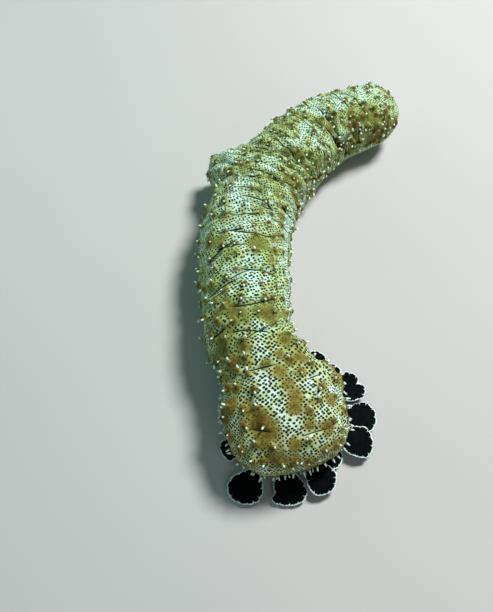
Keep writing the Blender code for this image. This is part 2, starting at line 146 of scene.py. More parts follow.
def skinAt(distance, angle):
    # girth angle in degrees: 0 is the +X side, 90 the middle of the back, 270 that of the sole
    point, _, side = spineAt(distance)
    width, back, sole = sectionAt(distance)
    turn = np.radians(angle)
    power = np.where(np.sin(turn) >= 0, bodyForm["backPower"], bodyForm["solePower"])
    across = signedPower(np.cos(turn), 2 / power)
    rise = signedPower(np.sin(turn), 2 / power)
    middle = sole + (back - sole) * bodyForm["widestAt"]
    reach = np.where(rise >= 0, back - middle, middle - sole)
    swell = 0
    for place, at, out, halfLength, halfSpan in bodyForm["flankFolds"]:
        off = (angle - at + 180) % 360 - 180
        swell = swell + out * np.exp(-((distance - place) / halfLength) ** 2 - (off / halfSpan) ** 2)
    across = across * width + np.cos(turn) * swell
    plan = point + side * across[..., None]
    z = np.maximum(middle + rise * reach + np.sin(turn) * swell, sole)
    return np.concatenate([plan, z[..., None]], -1)


def skinPlace(distance, angle):
    return skinAt(np.array([distance]), np.array([angle]))[0]


def farFrom(points, place):
    return np.linalg.norm(points - place, axis=-1)


def noiseAt(points, scale, seed=0.0):
    # smooth noise in -1 to 1 at each point, with lumps about this many millimetres across
    flat = np.asarray(points, float).reshape(-1, 3) / scale + seed
    values = [noise.noise(Vector(p)) for p in flat]
    return np.array(values).reshape(np.shape(points)[:-1])


# papillae: one set of places for the bumps in the skin, the blotches round them and the tips

papillaLayout = {
    "rows": (-7, 15, 36, 56, 75, 94, 113, 133, 154, 176, 196),
    "first": 12, "step": 12, "seed": 11,
    "bare": (15, 75, 78, 101),          # smooth middle of the head: distances, girth angles
    "rim": 19, "rimArc": (-112, 112),   # just above the tentacles, bearings
    "rimSize": 0.78, "rimFront": 0.6, "rimWidest": 0.96, "rimPastSide": 0.7,
    "brow": 21, "browArc": (-100, 100),  # a second row just over the rim
    # small ones between the rows: from distance, step, size, share of the places taken
    "small": (214, 9.5, 0.62, 0.62),
    # crowded places: count, distances, girth angles, sizes
    "clusters": [
        (16, (314, 358), (-4, 62), (0.7, 1.05)), (12, (352, 371), (0, 150), (0.5, 0.8)),
        (9, (222, 247), (158, 198), (0.6, 0.9)),
    ],
    # pointed ones that hang over the tentacles, higher at the sides of the head
    "fringe": 37, "fringeArc": (-122, 122), "fringeHeights": (14.5, 20.5), "fringeRise": 7.5,
    "fringeSizes": (0.5, 1.15), "fringeSeed": 17,
}


def rimPlace(bearing):
    # distance and girth angle of a place on the head's lower rim
    layout, power = papillaLayout, bodyForm["headPower"]
    lateral = math.sin(math.radians(min(abs(bearing), 90)))
    distance = bodyForm["headRound"] * (1 - (1 - lateral ** power) ** (1 / power))
    distance = max(distance, layout["rimFront"]) + max(abs(bearing) - 90, 0) * layout["rimPastSide"]
    widest, here = sectionAt(np.array([bodyForm["headRound"], distance]))[0]
    share = min(lateral * widest / here, 1) * layout["rimWidest"]
    below = math.degrees(math.acos(share ** (bodyForm["solePower"] / 2)))
    return distance, -below if bearing < 0 else 180 + below


def papillaPlaces():
    # distance, girth angle, size, and whether it stands on the rim
    layout = papillaLayout
    draw = random.Random(layout["seed"])
    bareFrom, bareTo, bareLow, bareHigh = layout["bare"]
    places = []
    for row, angle in enumerate(layout["rows"]):
        distance = layout["first"] + layout["step"] * 0.5 * (row % 2)
        while distance < bodyLength - 9:
            place = distance + draw.uniform(-2.5, 2.5)
            turn = angle + draw.uniform(-6, 6)
            size = draw.uniform(0.75, 1.2)
            lowFront = distance < bodyForm["headRound"] and not 30 < angle < 150
            bare = bareFrom < place < bareTo and bareLow < turn < bareHigh
            if not (lowFront or bare):
                places.append((place, turn, size, False))
            distance += layout["step"] * draw.uniform(0.85, 1.15)
    for bearing in np.linspace(*layout["rimArc"], layout["rim"]):
        places.append((*rimPlace(bearing), layout["rimSize"], True))
    for bearing in np.linspace(*layout["browArc"], layout["brow"]):
        bearing += draw.uniform(-3, 3)
        above = np.interp(abs(bearing), (0, 12, 50, 90), (90, 72, 28, 12)) + draw.uniform(-4, 9)
        distance = rimPlace(bearing)[0] + draw.uniform(0.6, 2.2)
        places.append((distance, above if bearing < 0 else 180 - above, draw.uniform(0.5, 0.85), False))
    distance, step, size, taken = layout["small"]
    while distance < bodyLength - 8:
        for angle in layout["rows"][1:]:
            if draw.random() < taken:
                places.append((distance + draw.uniform(-3, 3), angle - 10 + draw.uniform(-5, 5),
                               size * draw.uniform(0.75, 1.2), False))
        distance += step
    for count, *ranges in layout["clusters"]:
        for _ in range(count):
            places.append((*[draw.uniform(*ends) for ends in ranges], False))
    return places


def fringeSeats():
    # points on the head's lower front, and sizes
    layout = papillaLayout
    draw = random.Random(layout["fringeSeed"])
    distance, angle = np.meshgrid(np.linspace(0.05, 70, 240), np.linspace(-90, 270, 361), indexing="ij")
    shell = skinAt(distance, angle).reshape(-1, 3)
    centre, along, side = spineAt(np.array(bodyForm["headRound"]))
    away = shell[:, :2] - centre
    seats = []
    for bearing in np.radians(np.linspace(*layout["fringeArc"], layout["fringe"])):
        bearing += draw.uniform(-0.03, 0.03)
        height = draw.uniform(*layout["fringeHeights"]) + layout["fringeRise"] * math.sin(bearing) ** 2
        ahead = -along * math.cos(bearing) - side * math.sin(bearing)
        aside = np.abs(away @ (-ahead[1], ahead[0]))
        score = away @ ahead - 6 * aside - 6 * np.abs(shell[:, 2] - height)
        seats.append((shell[score.argmax()], draw.uniform(*layout["fringeSizes"])))
    return seats


papillae = papillaPlaces()
fringe = fringeSeats()


# skin

skinForm = {
    "ringStep": 0.84, "around": 198, "soleShare": 0.26,   # the sole has fewer columns to the millimetre
    "moundHeight": 1.9, "moundRadius": 3.1, "nippleHeight": 0.7, "nippleRadius": 1.2,
    "fringeHeight": 1.3, "fringeRadius": 1.8, "stainSeed": 3,
    "swellHeight": 1.2, "swellScale": 22,
    "puckerHeight": 0.34, "puckerScale": 5.0,
    "fineHeight": 0.13, "fineScale": 2.0,
    "flankPleat": 0.7, "pleatScale": 3.2,
    "lowest": 1.6,   # the sole stays this far off the floor, on its tube feet
    # creases seen on the back: distance, middle angle, half span, tilt in mm a degree, bow, depth
    "creases": [
        (62.9, 107, 18, 0.15, 0, 1.4), (47.6, 58, 8, -0.1, 0, 0.8), (23.6, 121, 11, 0.3, 0, 0.8),
        (14.6, 71, 15, -0.05, 0, 0.8), (95.6, 143, 17, 0.0, 1, 1.7), (89.4, 98, 23, 0.23, -2, 1.3),
        (107.2, 82, 29, -0.1, 3.5, 1.5), (123.6, 122, 25, -0.17, 0, 1.4),
        (118.1, 134, 16, -0.11, 0, 0.9), (131.1, 98, 12, -0.25, 0, 1.0), (133.6, 70, 25, 0.08, 0, 1.4),
        (152.6, 120, 22, -0.22, 0, 1.3), (148.1, 130, 15, -0.18, 0, 0.9), (166.6, 108, 17, 0, 0, 1.2),
        (163.6, 78, 22, 0.02, 1, 1.3), (180.6, 89, 15, -0.08, 0, 1.0), (196.1, 78, 21, 0.1, -2, 1.4),
        (222.5, 61, 52, -0.17, 0, 1.4), (245, 85, 44, -0.08, 1, 2.0), (254.6, 77, 14, -0.25, 0, 1.3),
        (254.6, 120, 30, -0.22, 0, 1.4), (301, 46, 50, 0.05, 0, 2.8), (297, 30, 34, -0.1, 0, 1.2),
    ],
    # folds that go on round the body, with a rough spacing: from, to, step, depth
    "folds": [(70, 176, 21, 0.8), (182, 342, 10.5, 1.25)],
    "foldSpans": ((20, 26), (92, 40), (160, 28)),   # middle angle and half span of each
    "foldSeed": 5,
    "creaseWidth": 1.0, "creaseShoulder": 3.2,
    "creaseShares": (0.62, 0.5, 0.09),   # groove, shoulder, raised lips
    # rounded ridges of the drawn-in rear: from, to, width of a ridge, height
    "accordion": (166, 352, 10, 2.8),
    # single lumps among the rolls: distance, girth angle, radius, height
    "lumps": [
        (250, 76, 5, 1.6), (256, 61, 5, 2.0), (246, 88, 4, 1.0), (247, 44, 6, 1.6), (259, 30, 7, 2.0),
        (272, 44, 6, 1.4), (284, 24, 7, 1.8), (233, 30, 6, 1.4), (297, 48, 6, 1.3), (338, 44, 8, 1.6),
        (324, 20, 7, 1.4), (352, 30, 7, 1.2), (293, 22, 6, 2.0), (309, 40, 7, 1.6), (308, 84, 7, 1.4),
        (228, 172, 6, 1.6), (241, 168, 6, 1.3), (310, 66, 6, 1.2),
    ],
    # the net of dots, finer towards the rear: distance, cell along and across the body
    "dotCells": [
        (-30, 1.5, 1.8), (5, 2.05, 2.3), (60, 2.2, 2.6), (90, 2.2, 2.55), (150, 2.1, 2.35),
        (240, 1.9, 2.1), (330, 1.8, 1.9), (400, 1.6, 1.7),
    ],
    "dotTurn": 28,   # the net's rows run askew to the body
    "anusRadius": 2.4, "anusDepth": 4.2, "anusFolds": 9,
    # patches besides those round the papillae: distance, girth angle, radius, strength (pale below 0).
    # Most pale ones are pale zones of the skin, but (192, 96), (182, 60) and (204, 108) are painted light
    # that brightens the rear's back, and (236, 155) and (226, 160) are a painted highlight on the lit
    # bulge of the left flank
    "patches": [
        (55, 88, 6, 1.0), (46, 86, 6, 0.9), (37, 82, 7, 1.0), (31, 87, 6, 0.9), (29, 117, 10, 1.0),
        (37, 125, 7, 0.8), (20, 115, 8, 0.9), (81, 111, 8, 0.9), (49, 12, 7, 0.8), (31, 46, 5, 0.8),
        (16, 56, 6, 0.9), (18, 78, 4, 0.9), (64, 96, 6, 0.6), (88, 142, 9, 0.9), (16, 124, 6, 0.8),
        (10, 92, 5, 0.8), (7, 122, 6, 0.8), (32, 69, 5, 0.7), (60, 60, 6, 0.8), (76, 132, 8, 0.9),
        (93, 64, 8, 0.8), (73, 62, 8, 0.8), (93, 118, 7, 0.7), (70, 114, 6, 0.8), (92, 136, 7, 0.8),
        (72, 84, 4, 0.5), (84, 100, 5, 0.7), (79, 76, 5, 0.7), (66, 80, 5, 0.7), (102, 66, 11, 0.95),
        (103, 106, 9, 0.9), (96, 94, 6, 0.8), (105, 132, 8, 0.7), (143, 56, 7, 0.8), (157, 71, 9, 1.0),
        (146, 108, 8, 0.7), (162, 116, 7, 0.8), (178, 112, 8, 0.7), (186, 74, 7, 0.8), (202, 84, 8, 0.6),
        (212, 60, 8, 0.7), (222, 112, 9, 0.7), (240, 58, 7, 0.8), (250, 76, 5, 1.2), (255, 61, 5, 1.2),
        (268, 34, 8, 0.7), (291, 78, 6, 1.0), (298, 56, 6, 0.9), (315, 48, 7, 0.8), (328, 64, 7, 0.9),
        (337, 52, 9, 0.95), (347, 42, 9, 0.95), (338, 26, 8, 0.75), (362, 20, 8, 0.7),
        (240, 176, 6, 0.9), (229, 182, 5, 0.9), (345, 8, 11, 0.9), (322, 4, 9, 0.8),
        (72, 96, 9, -0.8), (51, 101, 9, -0.9), (42, 102, 8, -0.9), (32, 97, 8, -1.0), (24, 92, 7, -0.9),
        (39, 65, 7, -0.9), (15, 34, 8, -0.8), (36, 36, 8, -0.6), (24, 62, 5, -0.7), (13, 80, 4, -0.6),
        (85, 83, 8, -0.9), (112, 82, 6, -0.6), (126, 84, 10, -1.0), (133, 100, 8, -0.6),
        (143, 84, 7, -0.6), (168, 94, 9, -0.8), (192, 96, 9, -0.9), (182, 60, 8, -0.7),
        (204, 108, 8, -0.8), (230, 84, 8, -0.6), (264, 76, 7, -0.9), (282, 77, 10, -1.0),
        (300, 96, 10, -0.9), (310, 118, 12, -0.9), (324, 92, 10, -1.1), (341, 102, 13, -0.8),
        (354, 104, 12, -0.8), (358, 74, 9, -0.8), (236, 155, 9, -1.0), (226, 160, 8, -0.8),
        (276, 50, 7, -0.7), (306, 34, 7, -0.7),
    ],
}


def ringDistances():
    # rings equally far apart along the skin, so closer in distance where the ends round off
    turn = np.radians(np.linspace(0, 90, 400))
    head = bodyForm["headRound"] * (1 - np.cos(turn))
    tail = bodyLength - bodyForm["tailRound"] * (1 - np.cos(turn))
    places = np.concatenate([head, np.linspace(head[-1], tail[-1], 1200)[1:-1], tail[::-1]])
    width, back, _ = sectionAt(places)
    run = np.maximum(np.abs(np.diff(width)), np.abs(np.diff(back)))
    reached = runningSum(np.hypot(np.diff(places), run))
    marks =np.linspace(0.3, reached[-1] - 0.3, int(reached[-1] / skinForm["ringStep"]))
    return np.interp(marks, reached, places), marks / reached[-1]


def ringAngles(distance):
    # columns equally far apart round each ring, wider on the sole; both ends are the sole's middle
    angle = np.linspace(-90, 270, 1081)
    ring = skinAt(np.full(angle.shape, distance), angle)
    step = np.linalg.norm(np.diff(ring, axis=0), axis=1)
    onSole = np.interp(angle[1:], (-50, -15, 195, 230), (1, 0, 0, 1))
    step *= 1 - (1 - skinForm["soleShare"]) * onSole
    reached = runningSum(step)
    return np.interp(np.linspace(0, reached[-1], skinForm["around"] + 1), reached, angle)


def gridNormals(points):
    around = np.roll(points, -1, axis=1) - np.roll(points, 1, axis=1)
    return unit(np.cross(np.gradient(points, axis=0), around))


def creaseList():
    form = skinForm
    draw = random.Random(form["foldSeed"])
    creases = list(form["creases"])
    for start, end, step, depth in form["folds"]:
        distance = start
        while distance < end:
            for middle, span in form["foldSpans"]:
                creases.append((
                    distance + draw.uniform(-3, 3), middle + draw.uniform(-14, 14),
                    span * draw.uniform(0.4, 1.1), draw.uniform(-0.12, 0.12),
                    draw.uniform(-3.5, 3.5), depth * draw.uniform(0.35, 0.95),
                ))
            distance += step * draw.uniform(0.8, 1.2)
    return creases


def creaseField(distance, angle, stretch, wobble):
    # depth of all creases, and the offset and strength of the nearest one for the dark line of painted
    # shade
    inGroove, inShoulder, inLips = skinForm["creaseShares"]
    depth, strength = np.zeros(angle.shape), np.zeros(angle.shape)
    nearest = np.full(angle.shape, 6.0)
    for place, middle, half, tilt, bow, deep in creaseList():
        share = (angle - middle) / half
        line = place + tilt * (angle - middle) + bow * share ** 2 + wobble
        off = (distance - line) * stretch
        ends = np.clip(1.25 - np.abs(share), 0, 0.5) * 2
        groove = bell(off, skinForm["creaseWidth"])
        shoulder = bell(off, skinForm["creaseShoulder"])
        lips = bell(np.abs(off) - 2.3, 1.0)
        depth += ends * deep * (inGroove * groove + inShoulder * shoulder - inLips * lips)
        closer = (np.abs(off) < np.abs(nearest)) & (ends > 0.02)
        nearest = np.where(closer, off, nearest)
        strength = np.where(closer, ends * min(deep, 1.3) / 1.3, strength)
    return depth, nearest, strength


def moundField(points):
    # bumps under the papillae, and how close each point is to one, in a wide and a narrow reach
    form = skinForm
    height, near, core = (np.zeros(points.shape[:2]) for _ in range(3))
    ragged = 1 - 0.38 * noiseAt(points, 4.5, 7.7)
    draw = random.Random(form["stainSeed"])

    def stain(field, far, reach, strength):
        np.maximum(field, strength * bell(far * ragged, reach), out=field)

    for distance, angle, size, onRim in papillae:
        far = farFrom(points, skinPlace(distance, angle))
        grow = size ** 1.25 * (0.85 if onRim else 1)
        height += form["moundHeight"] * grow * bell(far, form["moundRadius"] * grow)
        height += form["nippleHeight"] * grow * bell(far, form["nippleRadius"])
        stain(near, far, draw.uniform(3.8, 7.0) * (0.9 if onRim else 1), draw.uniform(0.5, 0.9))
        stain(core, far, draw.uniform(1.9, 2.9), draw.uniform(0.6, 1.0))
    for seat, size in fringe:
        far = farFrom(points, seat)
        height += form["fringeHeight"] * size * bell(far, form["fringeRadius"])
        brown = draw.uniform(0.15, 0.85)
        stain(near, far, 3.4, brown)
        stain(core, far, 2.1, 0.9 * brown)
    return height, near, core


def accordion(along, points):
    # rounded ridges across the body with sharp valleys between; the second value marks the valleys, where
    # the skin's colour gets painted shade
    start, end, width, height = skinForm["accordion"]
    drift = noiseAt(points, 30, 2.6) * 7 + noiseAt(points, 11, 8.2) * 1.6
    wave = np.abs(np.sin(math.pi * (along + drift) / width)) ** 0.7
    share = np.clip((along - start) / 25, 0, 1) * np.clip((end - along) / 25, 0, 1)
    uneven = 0.7 + 0.6 * noiseAt(points, 19, 6.3) + 0.5 * noiseAt(points, 8, 1.4)
    return share * uneven * height * (wave - 0.65), share * np.clip(1 - wave / 0.55, 0, 1)


def lumpField(points):
    height = np.zeros(points.shape[:2])
    for distance, angle, radius, rise in skinForm["lumps"]:
        height += rise * bell(farFrom(points, skinPlace(distance, angle)), radius)
    return height


def patchField(points):
    brown, pale = np.zeros(points.shape[:2]), np.zeros(points.shape[:2])
    for distance, angle, radius, strength in skinForm["patches"]:
        field = brown if strength > 0 else pale
        patch = abs(strength) * bell(farFrom(points, skinPlace(distance, angle)), radius)
        np.maximum(field, patch, out=field)
    return brown, pale


def flatPlace(distance, points):
    # each point laid flat in millimetres: along the body, and round it from the middle of the back.
    # At the two rounded ends the flat map turns about the crown instead of running to a point.
    crownAt = np.clip(distance, bodyForm["headRound"], bodyLength - bodyForm["tailRound"])
    crown, along, side = spineAt(crownAt)
    _, back, _ = sectionAt(crownAt)
    away = points[..., :2] - crown[:, None, :]
    ahead = np.einsum("nmk,nk->nm", away, along)
    inTrunk = (distance > bodyForm["headRound"]) & (distance < bodyLength - bodyForm["tailRound"])
    ahead[inTrunk] = 0
    across = np.einsum("nmk,nk->nm", away, side)
    drop = np.maximum(back[:, None] - points[..., 2], 0)
    flat = np.maximum(np.hypot(ahead, across), 1e-6)
    droop = np.arctan2(drop, flat)
    arc = np.hypot(flat, drop) * droop / np.maximum(np.sin(droop), 1e-6)
    arc = np.where(droop < 1e-4, flat, arc)
    return np.stack([crownAt[:, None] + arc * ahead / flat, arc * across / flat], -1)


def dotPlaces(flat):
    # the flat places counted in cells of the net of dots, and turned
    at, cellAlong, cellAcross = np.array(skinForm["dotCells"]).T
    marks = np.arange(-40, bodyLength + 80)
    counted = np.cumsum(1 / np.interp(marks, at, cellAlong))
    along = np.interp(flat[..., 0], marks, counted)
    across = flat[..., 1] / np.interp(flat[..., 0], at, cellAcross)
    turn = math.radians(skinForm["dotTurn"])
    return np.stack([
        along * math.cos(turn) - across * math.sin(turn), along * math.sin(turn) + across * math.cos(turn),
    ], -1)


def newObject(name, verts, faces):
    mesh = bpy.data.meshes.new(name)
    mesh.from_pydata((verts * mm).tolist(), [], faces)
    mesh.shade_smooth()
    obj = bpy.data.objects.new(name, mesh)
    bpy.context.scene.collection.objects.link(obj)
    return obj


def addLayer(obj, layer, kind, where, slot, values):
    made = obj.data.attributes.new(layer, kind, where)
    made.data.foreach_set(slot, values.astype(np.float32).ravel())


def gridQuads(rows, columns, start=0):
    # faces between rings of points that close round
    row, column = np.meshgrid(np.arange(rows - 1), np.arange(columns), indexing="ij")
    near, far = start + row * columns, start + (row + 1) * columns
    after = (column + 1) % columns
    return np.stack([near + column, near + after, far + after, far + column], -1).reshape(-1, 4).tolist()


def skinMesh(points, layers, flatLayers):
    # a mesh from rings of points (rows, columns), closed round and with a pole at both ends
    rows, columns = points.shape[:2]
    k = np.arange(columns)
    last = (rows - 1) * columns
    firstFan = np.stack([np.full(columns, rows * columns), (k + 1) % columns, k], -1)
    lastFan = np.stack([np.full(columns, rows * columns + 1), last + k, last + (k + 1) % columns], -1)
    faces = gridQuads(rows, columns) + firstFan.tolist() + lastFan.tolist()
    poles = np.stack([points[0].mean(0), points[-1].mean(0)])
    obj = newObject("skin", np.concatenate([points.reshape(-1, 3), poles]), faces)
    for layer, values in layers.items():
        ends = [values[0].mean(), values[-1].mean()]
        addLayer(obj, layer, "FLOAT", "POINT", "value", np.concatenate([values.reshape(-1), ends]))
    for layer, values in flatLayers.items():   # these have their own value at both sides of the seam
        quads = np.stack([values[:-1, :-1], values[:-1, 1:], values[1:, 1:], values[1:, :-1]], 2)
        corners = np.concatenate([
            quads.reshape(-1, 2), fanCorners(values[0], True), fanCorners(values[-1], False),
        ])
        if layer == "OFBake":
            uvMap = obj.data.uv_layers.new(name=layer)
            uvMap.data.foreach_set("uv", corners.astype(np.float32).ravel())
        else:
            corners = np.concatenate([corners, np.zeros((len(corners), 1))], 1)
            addLayer(obj, layer, "FLOAT_VECTOR", "CORNER", "vector", corners)
    return obj


def fanCorners(edge, flip):
    # pole, and the two ends of each edge of the last ring
    near, far = edge[:-1], edge[1:]
    middle = (near + far) / 2
    return np.stack([middle, far, near] if flip else [middle, near, far], 1).reshape(-1, 2)


def buildSkin():
    form = skinForm
    distance, share = ringDistances()
    angles = np.stack([ringAngles(d) for d in distance])
    whole = np.broadcast_to(distance[:, None], angles.shape)
    seamed = skinAt(whole, angles)
    angle, base, along = angles[:, :-1], seamed[:, :-1], whole[:, :-1]
    normals = gridNormals(base)
    stretch = np.linalg.norm(np.gradient(base, axis=0), axis=-1) / np.gradient(distance)[:, None]
    stretch = np.clip(stretch, 0.6, 2.5)

    def roundNoise(roundShare, scale, seed):
        # noise drawn out round the body
        return noiseAt(np.stack([along, angle * roundShare, np.zeros(angle.shape)], -1), scale, seed)

    onBack = np.interp(angle, (-40, 0, 180, 220), (0, 1, 1, 0))   # the sole stays flatter
    wobble = roundNoise(0.16, 11, 3.1) * 1.5
    crease, creaseOff, creaseDark = creaseField(along, angle, stretch, wobble)
    mound, near, core = moundField(base)
    # pale holds the skin's pale zones and, from some patches, painted light
    brown, pale = patchField(base)
    wall = bell(angle - 22, 12) * np.interp(along, (76, 92, 200, 220), (0, 1, 1, 0))
    pale = np.maximum(pale, 0.9 * wall)   # pale side of the flank on the inside of the bend
    flank = np.clip(1 - np.abs(np.abs(angle - 90) - 82) / 34, 0, 1)
    swell = noiseAt(base, form["swellScale"], 1.9)
    # the second value is where painted shade goes, in the valleys between the rolls
    ridge, valleyShade = accordion(along, base)

    height = mound * (0.15 + 0.85 * onBack)
    height -= crease * onBack
    height += (ridge + lumpField(base)) * onBack
    height += form["swellHeight"] * swell * (0.25 + 0.75 * onBack)
    height += form["puckerHeight"] * roundNoise(0.16, form["puckerScale"], 9.7) * onBack
    height += form["flankPleat"] * roundNoise(0.05, form["pleatScale"], 5.3) * flank
    height += form["fineHeight"] * noiseAt(base, form["fineScale"], 4.4) * onBack
    fromAnus = farFrom(base, base[-1].mean(0))
    folds = 0.5 + 0.5 * np.cos(np.radians(angle) * form["anusFolds"])
    height -= form["anusDepth"] * bell(fromAnus, form["anusRadius"])
    height += 0.9 * folds * bell(fromAnus - 5, 2.2)
    height *= np.interp(along, (0, 0.4, bodyLength), (0.2, 1, 1))   # the head's pole keeps its place

    points = base + normals * height[..., None]
    points[..., 2] = np.maximum(points[..., 2], form["lowest"])
    flat = flatPlace(distance, seamed)
    seamColumns = np.linspace(0, 1, angles.shape[1])
    bake = np.stack(np.broadcast_arrays(seamColumns[None, :], share[:, None]), -1)
    layers = {
        "blotch": (np.maximum(near * (1 - 0.5 * pale), brown) - 0.45 * pale) * (0.3 + 0.7 * onBack),
        "creaseOff": creaseOff, "creaseDark": creaseDark * onBack, "onBack": onBack,
        # the anus layer only darkens the anus' pit, as painted shade
        "anusShade": bell(fromAnus, 3.2), "core": core * onBack, "valleyShade": valleyShade * onBack,
    }
    obj = skinMesh(points, layers, {"OFBake": bake, "skinPlace": flat, "dotPlace": dotPlaces(flat)})
    return obj, points, gridNormals(points)


# material helpers

def tone(red, green, blue):
    # a colour as a picture shows it, 0 to 255, made linear
    def linear(c):
        c = c / 255
        return c / 12.92 if c <= 0.04045 else ((c + 0.055) / 1.055) ** 2.4
    return linear(red), linear(green), linear(blue), 1


def newMaterial(name):
    material = bpy.data.materials.new(name)
    material.use_nodes = True
    return material, material.node_tree, material.node_tree.nodes["Principled BSDF"]


def addNode(tree, kind, inputs, **settings):
    node = tree.nodes.new("ShaderNode" + kind)
    for key, value in settings.items():
        setattr(node, key, value)
    for key, value in inputs.items():
        if isinstance(value, bpy.types.NodeSocket):
            tree.links.new(value, node.inputs[key])
        else:
            node.inputs[key].default_value = value
    return node


def calc(tree, operation, a, b=0.0):
    return addNode(tree, "Math", {0: a, 1: b}, operation=operation).outputs[0]


def times(tree, a, b):
    return calc(tree, "MULTIPLY", a, b)


def plus(tree, a, b):
    return calc(tree, "ADD", a, b)


def shaken(tree, value, texture, amount):
    # the value pushed up and down by a texture that swings about a half
    return plus(tree, value, times(tree, calc(tree, "SUBTRACT", texture, 0.5), amount))


def vectorCalc(tree, operation, a, b):
    return addNode(tree, "VectorMath", {0: a, 1: b}, operation=operation).outputs[0]


def blendColours(tree, amount, a, b, mode="MIX"):
    node = addNode(tree, "Mix", {0: amount, 6: a, 7: b}, data_type="RGBA", blend_type=mode)
    return node.outputs[2]


def coated(tree, colour, *coats):
    # coats laid over a colour one after the other: how much, which colour, and how if not plainly
    for amount, coat, *mode in coats:
        colour = blendColours(tree, amount, colour, coat, *mode)
    return colour


def between(tree, value, low, high, fromValue=0.0, toValue=1.0):
    # eases from one value to another while the input goes from low to high
    inputs = {"Value": value, "From Min": low, "From Max": high, "To Min": fromValue, "To Max": toValue}
    return addNode(tree, "MapRange", inputs, interpolation_type="SMOOTHSTEP").outputs[0]


def layerOf(tree, name, output="Fac"):
    return addNode(tree, "Attribute", {}, attribute_name=name).outputs[output]


def objectPlace(tree):
    return addNode(tree, "TexCoord", {}).outputs["Object"]


def noiseTexture(tree, vector, scale, detail=2.0, roughness=0.5, output="Fac"):
    inputs = {"Vector": vector, "Scale": scale, "Detail": detail, "Roughness": roughness}
    return addNode(tree, "TexNoise", inputs).outputs[output]


def dress(tree, shader, colour, grain, roughness, relief, strength, depth):
    # colour, uneven roughness from a grain, and bump from a relief
    tree.links.new(colour, shader.inputs["Base Color"])
    tree.links.new(between(tree, grain, 0.3, 0.7, *roughness), shader.inputs["Roughness"])
    node = addNode(tree, "Bump", {"Height": relief, "Strength": strength, "Distance": depth})
    tree.links.new(node.outputs[0], shader.inputs["Normal"])


def letLightIn(shader, weight, radius, scale):
    shader.inputs["Subsurface Weight"].default_value = weight
    shader.inputs["Subsurface Radius"].default_value = radius
    shader.inputs["Subsurface Scale"].default_value = scale


skinFinish = {
    "pale": tone(233, 252, 236), "cream": tone(197, 202, 131), "sole": tone(150, 158, 118),
    "ochre": tone(150, 130, 44), "umber": tone(112, 90, 22), "rust": tone(98, 66, 12),
    # dark is painted shade: the crease lines, the shade round creases, the valleys between the rolls and
    # the anus' pit
    "dark": tone(20, 25, 13), "dot": tone(4, 6, 4),
    # the trunk and the tail are greener than the head: tint, and the distances it comes in over
    "rearTint": (0.88, 1.0, 0.98, 1), "rearFrom": (30, 115),
    "tailTint": (1.0, 1.0, 0.89, 1), "tailFrom": (210, 320),
    "oliveTint": (1.0, 1.3, 1.8, 1), "oliveUntil": (265, 325),
    # scales of the textures, in waves a millimetre
    "broad": 0.055, "patchy": 0.2, "mottle": 0.42, "fleck": 0.9, "wrinkle": 0.95, "grain": 1.5,
    "dotRadius": (0.32, 0.4), "dotRandomness": 0.48,      # shares of a cell
    "flankNet": 1.28, "flankFrom": (33, 37),              # how much finer, and how far round
    "lineHalfWidth": 0.56, "roughness": (0.5, 0.7), "shine": 0.15,
}


def dotNet(tree, place, scale, fade):
    # dots of uneven size on a warped net, here and there one missing
    warp = noiseTexture(tree, place, 0.16, 1, output="Color")
    warp = vectorCalc(tree, "MULTIPLY", vectorCalc(tree, "SUBTRACT", warp, (0.5, 0.5, 0.5)), (1.6, 1.6, 0))
    moved = vectorCalc(tree, "ADD", place, warp)
    inputs = {"Vector": moved, "Scale": scale, "Randomness": skinFinish["dotRandomness"]}
    cells = addNode(tree, "TexVoronoi", inputs, voronoi_dimensions="2D", feature="F1")
    parts = addNode(tree, "SeparateColor", {0: cells.outputs["Color"]})
    size = between(tree, parts.outputs[0], 0, 1, *skinFinish["dotRadius"])
    size = times(tree, size, between(tree, parts.outputs[1], 0.02, 0.06))
    off = calc(tree, "SUBTRACT", cells.outputs["Distance"], times(tree, size, fade))
    return between(tree, off, -0.025, 0.025, 1, 0)


